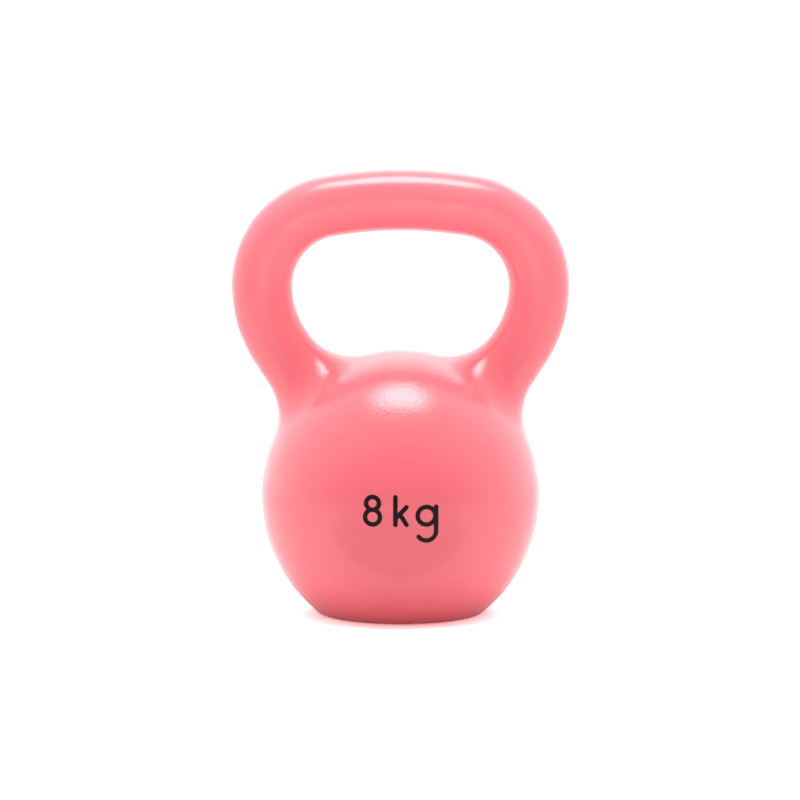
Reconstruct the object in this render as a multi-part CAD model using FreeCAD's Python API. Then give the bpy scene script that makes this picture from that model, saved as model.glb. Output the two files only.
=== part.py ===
import FreeCAD, Part
import math
import os
from FreeCAD import Vector

# Kettlebell of 8 kg: ball and handle cast in one pour of grey iron, powder coated all over
# except for the ground base, and marked with its weight. Millimetres. The origin is the
# centre of the ground base, +Z is up, +X runs along the grip and the marked front faces -Y.

overall_height = 194.0

# Ball: an egg turned about Z, ground flat at the base
ball_width = 122.0
ball_height = 127.6          # of the whole egg, before the base is ground
base_width = 72.0            # across the flat, before its edge is rounded
base_edge_radius = 1.5

# Handle: a round bar bent in the XZ plane, with radii on its centreline
grip_diameter = 26.6
handle_width = 147.4
crown_radius = 182.0         # top of the grip
shoulder_radius = 35.0       # grip to horn
horn_bend_radius = 48.8      # outward bow of each horn
horn_lean = 32.8             # degrees from upright, feet closer together
root_radius = 23.2           # hollow between each horn and the ball
crest_gap = 6.0              # least width of bare ball between the two hollows

# Powder coat
coat_thickness = 0.25

# Printed weight mark, in strokes with round ends
ink_thickness = 0.06
mark_stroke = 1.9
mark_height = 13.6           # of the figure and of the letter k
mark_rise = 1.0              # middle of the figure above the widest part of the ball
small_letter_height = 9.4    # of the letter g above the line
figure_upper_radius = 2.7
letter_k_width = 6.6
letter_k_branch = 2.6        # length of the stem below the arm
letter_k_knee = 0.4          # share of the arm's length where the leg leaves it
letter_g_drop = 2.9          # straight tail below the line, before its hook
letter_g_step = 0.3          # tail beyond the ring's right side
letter_g_hook = 145.0        # degrees of the hook
word_space = 4.6
letter_space = 2.8

# How near an edge lies to the egg, as a share of its size, or to the base, to count as on it
level_tolerance = 1e-4
height_tolerance = 1e-3

# Worked out from the sizes above
ball_centre_z = ball_height / 2 * math.sqrt(1 - (base_width / ball_width) ** 2)
bar_top_z = overall_height - grip_diameter / 2
bar_side_x = (handle_width - grip_diameter) / 2
lean = math.radians(horn_lean)
horn_down = Vector(-math.sin(lean), 0, -math.cos(lean))
horn_inward = Vector(-math.cos(lean), 0, math.sin(lean))
mark_reach = ball_width      # depth of the cutters that shape the mark
z_axis = Vector(0, 0, 1)


def from_centre(centre, radius, angle):
    return centre + Vector(math.cos(angle), 0, math.sin(angle)) * radius


def arc(centre, radius, start, end):
    turns = (start, (start + end) / 2, end)
    return Part.Arc(*(from_centre(centre, radius, turn) for turn in turns)).toShape()


def line(start, end):
    return Part.LineSegment(start, end).toShape()


def other_side(point):
    return Vector(-point.x, point.y, point.z)


def egg_level(point, depth):
    """1 on the egg that lies this deep under the finished surface, less inside it."""
    across = math.hypot(point.x, point.y) / (ball_width / 2 - depth)
    upright = (point.z - ball_centre_z) / (ball_height / 2 - depth)
    return across ** 2 + upright ** 2


def distance_to_egg(start, direction):
    """From a point in the XZ plane, outside the ball, along a direction in that plane."""
    start_x, start_z = 2 * start.x / ball_width, 2 * (start.z - ball_centre_z) / ball_height
    step_x, step_z = 2 * direction.x / ball_width, 2 * direction.z / ball_height
    square = step_x ** 2 + step_z ** 2
    product = start_x * step_x + start_z * step_z
    constant = start_x ** 2 + start_z ** 2 - 1
    return (-product - math.sqrt(product ** 2 - square * constant)) / square


def egg(depth):
    """The ball, with its seam in the YZ plane, clear of the horns."""
    half_width = ball_width / 2 - depth
    half_height = ball_height / 2 - depth
    base_radius = half_width * math.sqrt(1 - (ball_centre_z / half_height) ** 2)
    centre = Vector(0, 0, ball_centre_z)
    top = centre + z_axis * half_height
    side = centre + Vector(0, half_width, 0)
    rim = Vector(0, base_radius, 0)
    # the longer axis comes first, and either way the curve runs from the top over the side to the rim
    axes = (top, side) if half_height > half_width else (centre - Vector(0, half_width, 0), top)
    curve = Part.Ellipse(*axes, centre)
    flank = curve.toBSpline(curve.parameter(top), curve.parameter(rim)).toShape()
    outline = Part.Wire([flank, line(rim, Vector()), line(Vector(), top)])
    return Part.Face(outline).revolve(Vector(), z_axis, 360)


def bend_centres():
    """Centres of the crown, the right shoulder and the right horn's bend, and the crown's half angle."""
    crown = Vector(0, 0, bar_top_z - crown_radius)
    half_angle = math.asin((bar_side_x - shoulder_radius) / (crown_radius - shoulder_radius))
    shoulder = from_centre(crown, crown_radius - shoulder_radius, math.pi / 2 - half_angle)
    horn = Vector(bar_side_x - horn_bend_radius, 0, shoulder.z)
    return crown, shoulder, horn, half_angle


def horn_start():
    """Where the right horn's bend ends and its straight run to the ball starts."""
    return from_centre(bend_centres()[2], horn_bend_radius, -lean)


def handle(depth):
    """Round bar along the grip and both horns, with its two ends well inside the ball."""
    crown, shoulder, horn, half_angle = bend_centres()
    start = horn_start()
    end = start + horn_down * (distance_to_egg(start, horn_down) + grip_diameter)
    up = math.pi / 2
    path = Part.Wire([
        line(end, start),
        arc(horn, horn_bend_radius, -lean, 0),
        arc(shoulder, shoulder_radius, 0, up - half_angle),
        arc(crown, crown_radius, up - half_angle, up + half_angle),
        arc(other_side(shoulder), shoulder_radius, up + half_angle, math.pi),
        arc(other_side(horn), horn_bend_radius, math.pi, math.pi + lean),
        line(other_side(start), other_side(end)),
    ])
    section = Part.Wire(Part.Circle(end, horn_down, grip_diameter / 2 - depth).toShape())
    return path.makePipeShell([section], True, False)


def root_fit():
    """The root radius, no larger than leaves the crest of the ball bare between the two hollows."""
    start = horn_start() + horn_inward * (grip_diameter / 2)
    foot = start + horn_down * distance_to_egg(start, horn_down)
    slope = math.atan2(foot.x / ball_width ** 2, (foot.z - ball_centre_z) / ball_height ** 2)
    half_corner = (math.pi / 2 + slope - lean) / 2
    room = (foot.x - crest_gap / 2) / math.cos(slope)
    return min(root_radius, room * math.tan(half_corner))


def root_edges(bell, depth):
    """Where the horns run into the ball: edges on the egg, above its middle and away from its pole."""
    found = []
    for edge in bell.Edges:
        on_egg = all(abs(egg_level(end.Point, depth) - 1) < level_tolerance for end in edge.Vertexes)
        if on_egg and edge.BoundBox.ZMin > ball_centre_z and edge.Length > grip_diameter / 4:
            found.append(edge)
    return found


def base_edges(bell):
    return [edge for edge in bell.Edges if edge.BoundBox.ZMax < height_tolerance]


def bell_form(depth):
    """The whole bell as one solid, this deep under its finished surface. The base stays at z = 0."""
    bell = egg(depth).fuse(handle(depth)).removeSplitter().Solids[0]
    bell = bell.makeFillet(root_fit() + depth, root_edges(bell, depth)).Solids[0]
    return bell.makeFillet(base_edge_radius, base_edges(bell)).Solids[0]


def iron_casting():
    return bell_form(coat_thickness)


def powder_coat():
    """Skin over the casting. It stops level with the ground base, which is bare iron."""
    return bell_form(0).cut(bell_form(coat_thickness)).Solids[0]


def dot(x, y):
    return Part.makeCylinder(mark_stroke / 2, mark_reach, Vector(x, y, 0))


def bar(start_x, start_y, end_x, end_y):
    """Straight stroke of the mark, laid out flat in XY."""
    run, rise = end_x - start_x, end_y - start_y
    beam = Part.makeBox(math.hypot(run, rise), mark_stroke, mark_reach, Vector(0, -mark_stroke / 2, 0))
    beam.rotate(Vector(), z_axis, math.degrees(math.atan2(rise, run)))
    beam.translate(Vector(start_x, start_y, 0))
    return beam.fuse([dot(start_x, start_y), dot(end_x, end_y)])


def bow(x, y, radius, start=0, turn=360):
    """Curved stroke about a centre, from a start angle and through a turn, in degrees."""
    outside = Part.makeCylinder(radius + mark_stroke / 2, mark_reach, Vector(), z_axis, turn)
    inside = Part.makeCylinder(radius - mark_stroke / 2, mark_reach, Vector(), z_axis, 360)
    stroke = outside.cut(inside)
    stroke.rotate(Vector(), z_axis, start)
    stroke.translate(Vector(x, y, 0))
    return stroke


def figure_eight(left):
    """Two rings that share one stroke at the waist. Returns the figure and its right side."""
    lower_radius = (mark_height - mark_stroke) / 2 - figure_upper_radius
    middle = left + lower_radius + mark_stroke / 2
    lower = bow(middle, mark_stroke / 2 + lower_radius, lower_radius)
    upper = bow(middle, mark_height - mark_stroke / 2 - figure_upper_radius, figure_upper_radius)
    return lower.fuse(upper), middle + lower_radius + mark_stroke / 2


def letter_k(left):
    """Stem, arm and leg. Returns the letter and its right side."""
    half = mark_stroke / 2
    stem_x, tip_x = left + half, left + letter_k_width - half
    branch_y = half + letter_k_branch
    arm_top = small_letter_height - half
    stem = bar(stem_x, half, stem_x, mark_height - half)
    arm = bar(stem_x, branch_y, tip_x, arm_top)
    knee_x = stem_x + letter_k_knee * (tip_x - stem_x)
    knee_y = branch_y + letter_k_knee * (arm_top - branch_y)
    leg = bar(knee_x, knee_y, tip_x, half)
    return stem.fuse([arm, leg]), left + letter_k_width


def letter_g(left):
    """Ring, tail and hook. Returns the letter and its right side."""
    half = mark_stroke / 2
    ring_radius = small_letter_height / 2 - half
    hook_radius = ring_radius + letter_g_step
    middle, turn_y = left + half + ring_radius, half - letter_g_drop
    tail_x = middle + hook_radius
    ring = bow(middle, half + ring_radius, ring_radius)
    tail = bar(tail_x, small_letter_height - half, tail_x, turn_y)
    hook = bow(middle, turn_y, hook_radius, 360 - letter_g_hook, letter_g_hook)
    tip_turn = math.radians(-letter_g_hook)
    tip = dot(middle + hook_radius * math.cos(tip_turn), turn_y + hook_radius * math.sin(tip_turn))
    return ring.fuse([tail, hook, tip]), tail_x + half


def weight_mark():
    """The figure 8 and the letters kg, as a film of ink on the front of the ball."""
    eight, right = figure_eight(0)
    k, right = letter_k(right + word_space)
    g, right = letter_g(right + letter_space)
    cutters = eight.fuse([k, g]).removeSplitter()
    cutters.translate(Vector(-right / 2, -mark_height / 2, 0))
    cutters.rotate(Vector(), Vector(1, 0, 0), 90)
    cutters.translate(Vector(0, 0, ball_centre_z + mark_rise))
    film = egg(-ink_thickness).cut(egg(0))
    return Part.makeCompound(film.common(cutters).Solids)


def main():
    os.makedirs("parts", exist_ok=True)
    for make in (iron_casting, powder_coat, weight_mark):
        shape = make()
        shape.exportStep(f"parts/{make.__name__}.step")
        solids = len(shape.Solids)
        print(f"{make.__name__}: {solids} solids, {shape.Volume:.0f} mm3, valid {shape.isValid()}")


main()
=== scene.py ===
import bmesh
import bpy
import math
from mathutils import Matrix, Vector


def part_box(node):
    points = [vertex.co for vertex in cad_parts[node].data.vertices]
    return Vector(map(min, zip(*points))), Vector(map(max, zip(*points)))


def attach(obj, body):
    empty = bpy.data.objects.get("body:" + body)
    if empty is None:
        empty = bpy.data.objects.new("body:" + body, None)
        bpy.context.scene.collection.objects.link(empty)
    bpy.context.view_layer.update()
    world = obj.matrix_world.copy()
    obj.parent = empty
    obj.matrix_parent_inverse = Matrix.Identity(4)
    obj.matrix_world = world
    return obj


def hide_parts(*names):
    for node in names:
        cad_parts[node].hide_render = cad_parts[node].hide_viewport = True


# Kettlebell, 8 kg: cast iron under a gloss pink powder coat, with a printed weight mark.
# Metres. The ground base stands on z = 0, the grip runs along X and the mark faces -Y.

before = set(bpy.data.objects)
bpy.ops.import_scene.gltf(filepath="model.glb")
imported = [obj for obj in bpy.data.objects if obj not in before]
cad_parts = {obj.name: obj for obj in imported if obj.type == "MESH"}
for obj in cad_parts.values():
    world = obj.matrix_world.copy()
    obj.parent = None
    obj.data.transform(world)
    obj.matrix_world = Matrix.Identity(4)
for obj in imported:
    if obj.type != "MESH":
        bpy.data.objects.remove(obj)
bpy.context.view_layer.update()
scene = bpy.context.scene
mm = 0.001
touching = 0.001 * mm        # points nearer than this count as one
print("frame loaded")


def fromHex(code):
    # sRGB hex to the linear colour that a shader socket takes
    parts = [int(code[i:i + 2], 16) / 255 for i in (1, 3, 5)]
    return [p / 12.92 if p <= 0.04045 else ((p + 0.055) / 1.055) ** 2.4 for p in parts] + [1]


def addNode(tree, kind, settings=None, inputs=None):
    # one node with its settings; an input is a value or the socket that feeds it
    node = tree.nodes.new(kind)
    for name, value in (settings or {}).items():
        setattr(node, name, value)
    for name, value in (inputs or {}).items():
        socket = node.inputs[name]
        if isinstance(value, bpy.types.NodeSocket):
            tree.links.new(value, socket)
        else:
            socket.default_value = value
    return node


def newMaterial(name):
    material = bpy.data.materials.new(name)
    material.use_nodes = True
    material.node_tree.nodes.clear()
    return material, material.node_tree


def finishMaterial(tree, shader):
    addNode(tree, "ShaderNodeOutputMaterial", inputs={"Surface": shader.outputs["BSDF"]})


def newObject(name, mesh):
    thing = bpy.data.objects.new(name, mesh)
    scene.collection.objects.link(thing)
    return thing


# camera
cameraSettings = {
    "distance": 1.5225,      # to the middle line of the bell
    "elevation": 5.84,       # degrees above level
    "focusHeight": 0.09845,  # height that the distance and elevation are taken from
    "aimHeight": 0.09316,
    "aimSide": -0.00026,
    "lens": 156.6,
    "sensor": 36,
}


def setCamera(settings):
    camera = bpy.data.objects.new("camera", bpy.data.cameras.new("camera"))
    scene.collection.objects.link(camera)
    angle = math.radians(settings["elevation"])
    back = Vector((0, -math.cos(angle), math.sin(angle)))
    camera.location = Vector((0, 0, settings["focusHeight"])) + back * settings["distance"]
    aim = Vector((settings["aimSide"], 0, settings["aimHeight"]))
    camera.rotation_euler = (aim - camera.location).to_track_quat("-Z", "Y").to_euler()
    camera.data.lens = settings["lens"]
    camera.data.sensor_width = settings["sensor"]
    scene.camera = camera


setCamera(cameraSettings)
print("camera set")

# studio: a white tent all round with a dark opening towards the camera, one soft box overhead,
# a card behind and two weak ones in front
studio = {
    "tent": 1.8,             # brightness of the tent's sides and back
    "front": 0.05,           # brightness through the opening
    "frontEdge": 0.95,       # cosine of the angle from the front where the opening ends
    "tentEdge": -0.4,        # cosine where the tent is at full brightness
    "backdrop": 1.05,        # white that the camera sees behind the bell
    "boxPower": 40,
    "boxSize": (1.4, 1.05),
    "boxCore": 0.12,         # share of the box, from its middle, at full brightness
    "boxPlace": (0, -0.12, 1.5),
    "backPower": 2.8,        # card behind, high enough to show in the crest of the ball
    "backSize": (2.0, 0.6),
    "backPlace": (0, 1.3, 1.15),
    "frontPower": 4.5,       # card under the camera
    "frontSize": (0.9, 0.5),
    "frontPlace": (0, -1.2, 0.15),
    "gripPower": 0.022,      # narrow card that lifts the handle
    "gripSize": (0.24, 0.05),
    "gripPlace": (0, -0.5, 0.1),
    "gripSpread": 16,        # degrees
    "cardAim": 0.1,          # height that the cards point at
    "gripAim": 0.18,         # and the narrow one
    "floor": "#e6e6e6",      # as the bell sees it
    "floorGlow": 0.02,       # light from under the table top
    "felt": "#b4b4b4",
    "floorShown": 1.9,       # as the camera sees both
    "floorSize": 1.3,
    "floorDrop": 0.01 * mm,  # keeps the table top just clear of the ground base
    "feltReach": 0.2,        # radius of the felt's rounded end, a quarter circle
    "feltMiddle": 0.27,      # centre of that circle, in front of the bell's axis
    "feltSteps": 32,         # straight sides of the rounded end
    "feltFar": 3,            # from there to its far corners, forwards and to each side
}


def addCard(name, size, power, place, aim, spread=180):
    # rectangular light, pointed at a height on the bell's axis
    light = bpy.data.lights.new(name, "AREA")
    light.shape = "RECTANGLE"
    light.size, light.size_y = size
    light.energy = power
    light.spread = math.radians(spread)
    card = newObject(name, light)
    card.location = place
    card.rotation_euler = (Vector((0, 0, aim)) - card.location).to_track_quat("-Z", "Y").to_euler()
    return card


def lightStudio(settings):
    world = bpy.data.worlds.new("tent")
    scene.world = world
    world.use_nodes = True
    tree = world.node_tree
    tree.nodes.clear()
    direction = addNode(tree, "ShaderNodeTexCoord")
    towardsCamera = addNode(tree, "ShaderNodeVectorMath", {"operation": "DOT_PRODUCT"},
                            {0: direction.outputs["Generated"], 1: (0, -1, 0)})
    brightness = addNode(tree, "ShaderNodeMapRange", {},
                         {"Value": towardsCamera.outputs["Value"],
                          "From Min": settings["tentEdge"], "From Max": settings["frontEdge"],
                          "To Min": settings["tent"], "To Max": settings["front"]})
    tent = addNode(tree, "ShaderNodeBackground", inputs={"Strength": brightness.outputs["Result"]})
    backdrop = addNode(tree, "ShaderNodeBackground", inputs={"Strength": settings["backdrop"]})
    ray = addNode(tree, "ShaderNodeLightPath")
    shown = addNode(tree, "ShaderNodeMixShader", inputs={0: ray.outputs["Is Camera Ray"]})
    for place, part in ((1, tent), (2, backdrop)):
        part.inputs["Color"].default_value = (1, 1, 1, 1)
        tree.links.new(part.outputs["Background"], shown.inputs[place])
    addNode(tree, "ShaderNodeOutputWorld", inputs={"Surface": shown.outputs["Shader"]})

    box = addCard("softBox", settings["boxSize"], settings["boxPower"], settings["boxPlace"], 0)
    box.rotation_euler = (0, 0, 0)  # straight down
    box.data.shape = "ELLIPSE"
    # the box is brightest in its middle
    box.data.use_nodes = True
    tree = box.data.node_tree
    across = addNode(tree, "ShaderNodeNewGeometry").outputs["Parametric"]
    off = addNode(tree, "ShaderNodeVectorMath", {"operation": "DISTANCE"}, {0: across, 1: (0.5, 0.5, 0)})
    glow = addNode(tree, "ShaderNodeMapRange", {"interpolation_type": "SMOOTHSTEP"},
                   {"Value": off.outputs["Value"], "From Min": settings["boxCore"], "From Max": 0.5,
                    "To Min": 1.0, "To Max": 0.0})
    tree.links.new(glow.outputs["Result"], tree.nodes["Emission"].inputs["Strength"])

    addCard("backCard", settings["backSize"], settings["backPower"], settings["backPlace"],
            settings["cardAim"])
    # two weak cards, kept out of the gloss
    front = addCard("frontCard", settings["frontSize"], settings["frontPower"], settings["frontPlace"],
                    settings["cardAim"])
    grip = addCard("gripCard", settings["gripSize"], settings["gripPower"], settings["gripPlace"],
                   settings["gripAim"], settings["gripSpread"])
    front.visible_glossy = grip.visible_glossy = False


def overexposed(name, colour, glow):
    # a plain matt surface that the camera sees burnt out to white
    material, tree = newMaterial(name)
    ray = addNode(tree, "ShaderNodeLightPath")
    real = addNode(tree, "ShaderNodeBsdfPrincipled", inputs={
        "Base Color": fromHex(colour), "Roughness": 1.0, "Specular IOR Level": 0.0,
        "Emission Color": (1, 1, 1, 1), "Emission Strength": glow})
    shown = addNode(tree, "ShaderNodeBsdfDiffuse", inputs={"Color": [studio["floorShown"]] * 3 + [1]})
    either = addNode(tree, "ShaderNodeMixShader", inputs={
        0: ray.outputs["Is Camera Ray"], 1: real.outputs["BSDF"], 2: shown.outputs["BSDF"]})
    addNode(tree, "ShaderNodeOutputMaterial", inputs={"Surface": either.outputs["Shader"]})
    return material


def layFlat(name, corners, height, material):
    mesh = bpy.data.meshes.new(name)
    mesh.from_pydata([(x, y, height) for x, y in corners], [], [range(len(corners))])
    mesh.materials.append(material)
    newObject(name, mesh)


def layFloor(settings):
    half = settings["floorSize"] / 2
    layFlat("floor", [(-half, -half), (half, -half), (half, half), (-half, half)], -settings["floorDrop"],
            overexposed("white acrylic light table", settings["floor"], settings["floorGlow"]))
    # felt in front of the bell keeps the table's glare off the lower half of the ball
    reach, middle, far = settings["feltReach"], settings["feltMiddle"], settings["feltFar"]
    steps = settings["feltSteps"]
    turns = [math.pi * (0.25 + i / (2 * steps)) for i in range(steps + 1)]
    edge = [(reach * math.cos(t), reach * math.sin(t) - middle) for t in turns]
    layFlat("felt", edge + [(-far, -far - middle), (far, -far - middle)], 0,
            overexposed("grey felt", settings["felt"], 0))


lightStudio(studio)
layFloor(studio)
print("studio lit")

# powder coat: an even skin drawn over the casting, as a thin shell
coat = {
    "cell": 1.45 * mm,       # side of a mesh quad
    "film": 0.25 * mm,
    "footCut": 2.5 * mm,     # height where the even mesh stops and the foot's rings start
    "footEdge": 0.6 * mm,    # a little over the height of the foot's rounded edge
    "footStep": 0.05 * mm,
    "passes": 5,             # rounds of evening out and pressing back on the form
    "swell": 0.05 * mm,      # height of the casting's slow unevenness
    "swellWidth": 16 * mm,
    "seed": 4.0,
    "footPlain": 2 * mm,     # no swell below this height
    "footSwollen": 10 * mm,  # full swell above this one
    "markMargin": 3 * mm,    # plain ring round the mark
    "markFade": 1.6,         # full swell at this many times the plain reach
    "colour": "#f4707a",
    "roughness": 0.16,
    "peelWidth": 1.3 * mm,   # width of one orange peel dimple
    "peelHeight": 0.1 * mm,
}


def mergedCopy(node):
    mesh = bmesh.new()
    mesh.from_mesh(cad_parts[node].data)
    bmesh.ops.remove_doubles(mesh, verts=mesh.verts, dist=touching)
    return mesh


def keepOuterSkin(mesh):
    # drops the level rim at the foot, then all that isn't joined to the highest point
    foot = [face for face in mesh.faces if all(v.co.z < touching for v in face.verts)]
    bmesh.ops.delete(mesh, geom=foot, context="FACES")
    start = max(mesh.verts, key=lambda v: v.co.z)
    joined, edge = {start}, [start]
    while edge:
        edge = [e.other_vert(v) for v in edge for e in v.link_edges]
        edge = list({v for v in edge if v not in joined})
        joined.update(edge)
    bmesh.ops.delete(mesh, geom=[v for v in mesh.verts if v not in joined], context="VERTS")


def castingForm():
    # the outer skin as a reference surface: each point keeps its normal, and its reach along that normal
    skin = mergedCopy("powder_coat")
    keepOuterSkin(skin)
    skin.normal_update()
    mesh = bpy.data.meshes.new("castingForm")
    skin.to_mesh(mesh)
    mesh.attributes.new("skinNormal", "FLOAT_VECTOR", "POINT")
    mesh.attributes.new("skinReach", "FLOAT", "POINT")
    normals, reaches = mesh.attributes["skinNormal"].data, mesh.attributes["skinReach"].data
    for i, vert in enumerate(skin.verts):
        normals[i].vector = vert.normal
        reaches[i].value = vert.co.dot(vert.normal)
    bmesh.ops.holes_fill(skin, edges=skin.edges, sides=0)
    closed = bpy.data.meshes.new("closedForm")
    skin.to_mesh(closed)
    skin.free()
    return newObject("castingForm", mesh), newObject("closedForm", closed)


def evenCoatTree():
    tree = bpy.data.node_groups.new("evenCoat", "GeometryNodeTree")
    inputs = {
        "Geometry": "Geometry", "Form": "Object", "Passes": "Int", "Swell": "Float", "Swell Width": "Float",
        "Seed": "Float", "Plain Middle": "Vector", "Plain Reach": "Float", "Plain Fade": "Float",
        "Foot Plain": "Float", "Foot Swollen": "Float", "Material": "Material"}
    for name, kind in inputs.items():
        tree.interface.new_socket(name, in_out="INPUT", socket_type="NodeSocket" + kind)
    tree.interface.new_socket("Geometry", in_out="OUTPUT", socket_type="NodeSocketGeometry")
    given = addNode(tree, "NodeGroupInput").outputs
    form = addNode(tree, "GeometryNodeObjectInfo", inputs={"Object": given["Form"]}).outputs["Geometry"]
    here = addNode(tree, "GeometryNodeInputPosition").outputs["Position"]

    start = addNode(tree, "GeometryNodeRepeatInput")
    end = addNode(tree, "GeometryNodeRepeatOutput")
    start.pair_with_output(end)
    tree.links.new(given["Passes"], start.inputs["Iterations"])
    tree.links.new(given["Geometry"], start.inputs["Geometry"])

    # ease every point towards its neighbours
    eased = addNode(tree, "GeometryNodeBlurAttribute", {"data_type": "FLOAT_VECTOR"}, {"Iterations": 2})
    vectorIn = [s for s in eased.inputs if s.type == "VECTOR" and s.enabled][0]
    tree.links.new(here, vectorIn)
    vectorOut = [s for s in eased.outputs if s.enabled][0]
    soft = addNode(tree, "GeometryNodeSetPosition",
                   inputs={"Geometry": start.outputs["Geometry"], "Position": vectorOut})

    # press it back: nearest facet of the form, raised by half its depth under the form's tangent planes,
    # which is where a round surface through the facet's corners lies
    near = addNode(tree, "GeometryNodeProximity", {"target_element": "FACES"}, {0: form})
    normal = addNode(tree, "GeometryNodeInputNamedAttribute",
                     {"data_type": "FLOAT_VECTOR"}, {"Name": "skinNormal"})
    reach = addNode(tree, "GeometryNodeInputNamedAttribute", {"data_type": "FLOAT"}, {"Name": "skinReach"})
    sampledNormal = addNode(tree, "GeometryNodeSampleNearestSurface",
                            {"data_type": "FLOAT_VECTOR"}, {"Mesh": form})
    sampledReach = addNode(tree, "GeometryNodeSampleNearestSurface", {"data_type": "FLOAT"}, {"Mesh": form})
    for sample, field in ((sampledNormal, normal), (sampledReach, reach)):
        tree.links.new([s for s in field.outputs if s.enabled][0],
                       [s for s in sample.inputs if s.enabled and s.name == "Value"][0])
    n = [s for s in sampledNormal.outputs if s.enabled][0]
    r = [s for s in sampledReach.outputs if s.enabled][0]
    along = addNode(tree, "ShaderNodeVectorMath", {"operation": "DOT_PRODUCT"},
                    {0: near.outputs["Position"], 1: n})
    depth = addNode(tree, "ShaderNodeMath", {"operation": "SUBTRACT"}, {0: r, 1: along.outputs["Value"]})
    lift = addNode(tree, "ShaderNodeMath", {"operation": "MULTIPLY"}, {0: depth.outputs["Value"], 1: 0.5})
    outwards = addNode(tree, "ShaderNodeVectorMath", {"operation": "NORMALIZE"}, {0: n})
    raised = addNode(tree, "ShaderNodeVectorMath", {"operation": "SCALE"},
                     {0: outwards.outputs["Vector"], "Scale": lift.outputs["Value"]})
    onForm = addNode(tree, "ShaderNodeVectorMath", {"operation": "ADD"},
                     {0: near.outputs["Position"], 1: raised.outputs["Vector"]})
    pressed = addNode(tree, "GeometryNodeSetPosition",
                      inputs={"Geometry": soft.outputs["Geometry"], "Position": onForm.outputs["Vector"]})
    tree.links.new(pressed.outputs["Geometry"], end.inputs["Geometry"])

    # slow unevenness of a sand casting, none on the flat foot or under the print
    perMetre = addNode(tree, "ShaderNodeMath", {"operation": "DIVIDE"}, {0: 1.0, 1: given["Swell Width"]})
    noise = addNode(tree, "ShaderNodeTexNoise", {"noise_dimensions": "4D"},
                    {"Vector": here, "W": given["Seed"], "Scale": perMetre.outputs["Value"], "Detail": 1.0})
    wave = addNode(tree, "ShaderNodeMapRange", inputs={
        "Value": noise.outputs[0], "From Min": 0.3, "From Max": 0.7, "To Min": -1.0, "To Max": 1.0})
    height = addNode(tree, "ShaderNodeMath", {"operation": "MULTIPLY"},
                     {0: wave.outputs["Result"], 1: given["Swell"]})
    away = addNode(tree, "ShaderNodeVectorMath", {"operation": "DISTANCE"},
                   {0: here, 1: given["Plain Middle"]})
    clear = addNode(tree, "ShaderNodeMapRange", {"interpolation_type": "SMOOTHSTEP"},
                    {"Value": away.outputs["Value"], "From Min": given["Plain Reach"]})
    farther = addNode(tree, "ShaderNodeMath", {"operation": "MULTIPLY"},
                      {0: given["Plain Reach"], 1: given["Plain Fade"]})
    tree.links.new(farther.outputs["Value"], clear.inputs["From Max"])
    level = addNode(tree, "ShaderNodeSeparateXYZ", inputs={0: here})
    offFoot = addNode(tree, "ShaderNodeMapRange", {"interpolation_type": "SMOOTHSTEP"},
                      {"Value": level.outputs["Z"], "From Min": given["Foot Plain"],
                       "From Max": given["Foot Swollen"]})
    share = addNode(tree, "ShaderNodeMath", {"operation": "MULTIPLY"},
                    {0: clear.outputs["Result"], 1: offFoot.outputs["Result"]})
    amount = addNode(tree, "ShaderNodeMath", {"operation": "MULTIPLY"},
                     {0: height.outputs["Value"], 1: share.outputs["Value"]})
    outside = addNode(tree, "GeometryNodeInputNormal")
    push = addNode(tree, "ShaderNodeVectorMath", {"operation": "SCALE"},
                   {0: outside.outputs[0], "Scale": amount.outputs["Value"]})
    swollen = addNode(tree, "GeometryNodeSetPosition",
                      inputs={"Geometry": end.outputs["Geometry"], "Offset": push.outputs["Vector"]})
    smooth = addNode(tree, "GeometryNodeSetShadeSmooth", inputs={"Geometry": swollen.outputs["Geometry"]})
    real = addNode(tree, "GeometryNodeRealizeInstances", inputs={"Geometry": smooth.outputs["Geometry"]})
    painted = addNode(tree, "GeometryNodeSetMaterial",
                      inputs={"Geometry": real.outputs["Geometry"], "Material": given["Material"]})
    addNode(tree, "NodeGroupOutput", inputs={"Geometry": painted.outputs["Geometry"]})
    return tree


def giveInputs(modifier, values):
    for item in modifier.node_group.interface.items_tree:
        if item.in_out == "INPUT" and item.name in values:
            modifier[item.identifier] = values[item.name]


def plainMesh(thing, name):
    graph = bpy.context.evaluated_depsgraph_get()
    mesh = bpy.data.meshes.new_from_object(thing.evaluated_get(graph))
    mesh.name = name
    return mesh


def footRings(form, top, step):
    # level and radius of rings round the edge of the foot, one for each step, from the highest to the floor
    rings = {}
    for vert in form.data.vertices:
        if vert.co.z < top:
            ring = (vert.co.z, math.hypot(vert.co.x, vert.co.y))
            place = round(vert.co.z / step)
            rings[place] = min(ring, rings.get(place, ring))
    return sorted(rings.values(), reverse=True)


def openFoot(mesh, cutHeight, rings):
    # cuts the closed skin a little above its foot, then draws the cut edge down and in, ring by ring
    skin = bmesh.new()
    skin.from_mesh(mesh)
    bmesh.ops.bisect_plane(skin, geom=skin.verts[:] + skin.edges[:] + skin.faces[:], dist=touching,
                           plane_co=(0, 0, cutHeight), plane_no=(0, 0, 1), clear_inner=True)
    edge = [e for e in skin.edges if e.is_boundary]
    for level, radius in rings:
        drawn = bmesh.ops.extrude_edge_only(skin, edges=edge)["geom"]
        for vert in (item for item in drawn if isinstance(item, bmesh.types.BMVert)):
            vert.co = Vector((vert.co.x, vert.co.y, 0)).normalized() * radius + Vector((0, 0, level))
        edge = [e for e in drawn if isinstance(e, bmesh.types.BMEdge) and e.is_boundary]
    bmesh.ops.remove_doubles(skin, verts=skin.verts, dist=5 * touching)
    bmesh.ops.recalc_face_normals(skin, faces=skin.faces)
    for face in skin.faces:
        face.smooth = True
    skin.to_mesh(mesh)
    skin.free()


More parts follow.
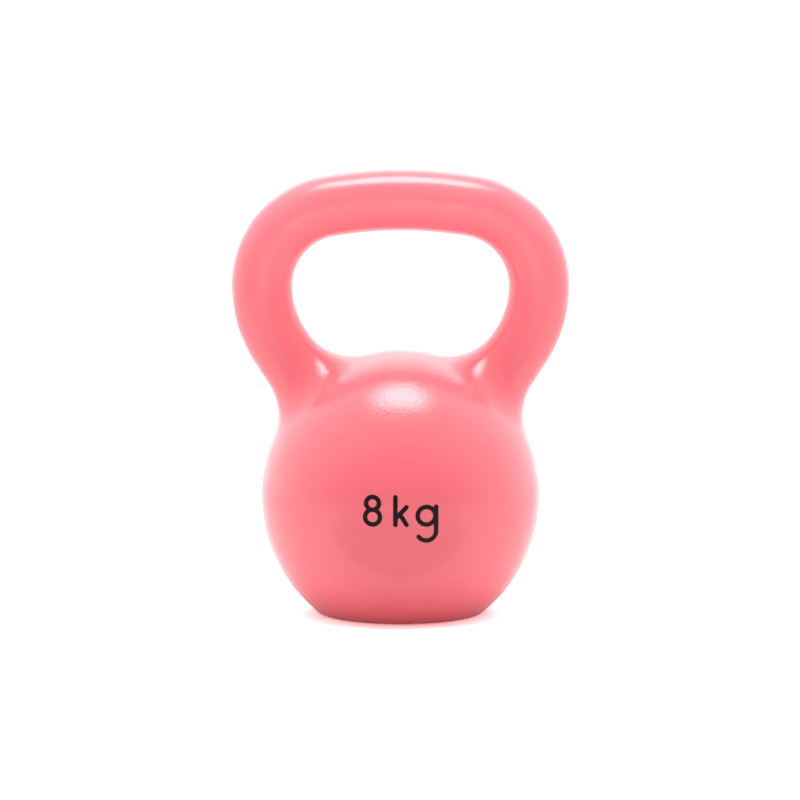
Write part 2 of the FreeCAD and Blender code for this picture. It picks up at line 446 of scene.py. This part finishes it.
def glossPowderCoat(settings):
    # polyester powder, sprayed dry and baked: it flows out glossy but keeps a faint orange peel,
    # which breaks up the edges of every highlight
    material, tree = newMaterial("gloss pink polyester powder coat")
    place = addNode(tree, "ShaderNodeTexCoord").outputs["Object"]
    peel = addNode(tree, "ShaderNodeTexNoise", inputs={
        "Vector": place, "Scale": 1 / settings["peelWidth"], "Detail": 1.5, "Roughness": 0.45})
    relief = addNode(tree, "ShaderNodeBump", inputs={
        "Height": peel.outputs[0], "Distance": settings["peelHeight"], "Strength": 1.0})
    finishMaterial(tree, addNode(tree, "ShaderNodeBsdfPrincipled", inputs={
        "Base Color": fromHex(settings["colour"]), "Roughness": settings["roughness"], "IOR": 1.5,
        "Normal": relief.outputs["Normal"]}))
    return material


def makeCoat(settings):
    form, closed = castingForm()
    remesh = closed.modifiers.new("quads", "REMESH")
    remesh.mode = "VOXEL"
    remesh.voxel_size = settings["cell"]
    even = closed.modifiers.new("evenCoat", "NODES")
    even.node_group = evenCoatTree()
    markLow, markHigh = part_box("weight_mark")
    giveInputs(even, {
        "Form": form, "Passes": settings["passes"], "Swell": settings["swell"],
        "Swell Width": settings["swellWidth"], "Seed": settings["seed"],
        "Plain Middle": (markLow + markHigh) / 2,
        "Plain Reach": (markHigh.x - markLow.x) / 2 + settings["markMargin"],
        "Plain Fade": settings["markFade"],
        "Foot Plain": settings["footPlain"], "Foot Swollen": settings["footSwollen"],
        "Material": glossPowderCoat(settings)})
    mesh = plainMesh(closed, "coatSkin")
    openFoot(mesh, settings["footCut"], footRings(form, settings["footEdge"], settings["footStep"]))
    for helper in (form, closed):
        bpy.data.objects.remove(helper)
    skin = newObject("coatSkin", mesh)
    thick = skin.modifiers.new("film", "SOLIDIFY")
    thick.thickness = settings["film"]
    thick.offset = -1
    piece = newObject("powderCoat", plainMesh(skin, "powderCoat"))
    bpy.data.objects.remove(skin)
    print("coat:", len(piece.data.polygons), "faces")
    return piece


powderCoat = makeCoat(coat)
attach(powderCoat, "root")
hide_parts("powder_coat")

# printed mark
ink = {"colour": "#17100f", "roughness": 0.45, "unevenness": 0.08, "grain": 0.25 * mm}


def padPrintInk(settings):
    # pad-printed ink: thin and satin, with a gloss that varies a little
    material, tree = newMaterial("satin black pad-printed ink")
    place = addNode(tree, "ShaderNodeTexCoord").outputs["Object"]
    grain = addNode(tree, "ShaderNodeTexNoise", inputs={"Vector": place, "Scale": 1 / settings["grain"]})
    rough = addNode(tree, "ShaderNodeMapRange", inputs={
        "Value": grain.outputs[0], "To Min": settings["roughness"] - settings["unevenness"],
        "To Max": settings["roughness"] + settings["unevenness"]})
    finishMaterial(tree, addNode(tree, "ShaderNodeBsdfPrincipled", inputs={
        "Base Color": fromHex(settings["colour"]), "Roughness": rough.outputs["Result"], "IOR": 1.3}))
    return material


def dressNode(node, material):
    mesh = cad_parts[node].data
    mesh.materials.clear()
    mesh.materials.append(material)


dressNode("weight_mark", padPrintInk(ink))
print("mark inked")

# casting, bare only on its ground base
iron = {
    "bright": "#999693",     # ridges of the scratches
    "dull": "#7e7b79",       # between them
    "roughness": 0.38,
    "unevenness": 0.12,      # rougher between the ridges, smoother on them
    "scratchWidth": 0.6 * mm,
    "scratchLength": 30 * mm,
    "scratchHeight": 0.008 * mm,
}


def groundIron(settings):
    # grey cast iron, surface ground: dull silver-grey with straight scratches along Y, which are
    # drawn coarser than real ones so that they show
    material, tree = newMaterial("ground grey cast iron")
    place = addNode(tree, "ShaderNodeTexCoord").outputs["Object"]
    across = addNode(tree, "ShaderNodeMapping", inputs={
        "Vector": place, "Scale": (1 / settings["scratchWidth"], 1 / settings["scratchLength"], 0)})
    scratches = addNode(tree, "ShaderNodeTexNoise", inputs={
        "Vector": across.outputs["Vector"], "Scale": 1.0, "Detail": 3.0})
    contrast = addNode(tree, "ShaderNodeMapRange", inputs={
        "Value": scratches.outputs[0], "From Min": 0.35, "From Max": 0.65})
    shade = addNode(tree, "ShaderNodeMix", {"data_type": "RGBA"}, {
        0: contrast.outputs["Result"], 6: fromHex(settings["dull"]), 7: fromHex(settings["bright"])})
    relief = addNode(tree, "ShaderNodeBump", inputs={
        "Height": scratches.outputs[0], "Distance": settings["scratchHeight"]})
    rough = addNode(tree, "ShaderNodeMapRange", inputs={
        "Value": contrast.outputs["Result"], "To Min": settings["roughness"] + settings["unevenness"],
        "To Max": settings["roughness"] - settings["unevenness"]})
    finishMaterial(tree, addNode(tree, "ShaderNodeBsdfPrincipled", inputs={
        "Base Color": shade.outputs[2], "Metallic": 1.0,
        "Roughness": rough.outputs["Result"], "Normal": relief.outputs["Normal"]}))
    return material


dressNode("iron_casting", groundIron(iron))
print("base ground")

scene.view_settings.view_transform = "Standard"
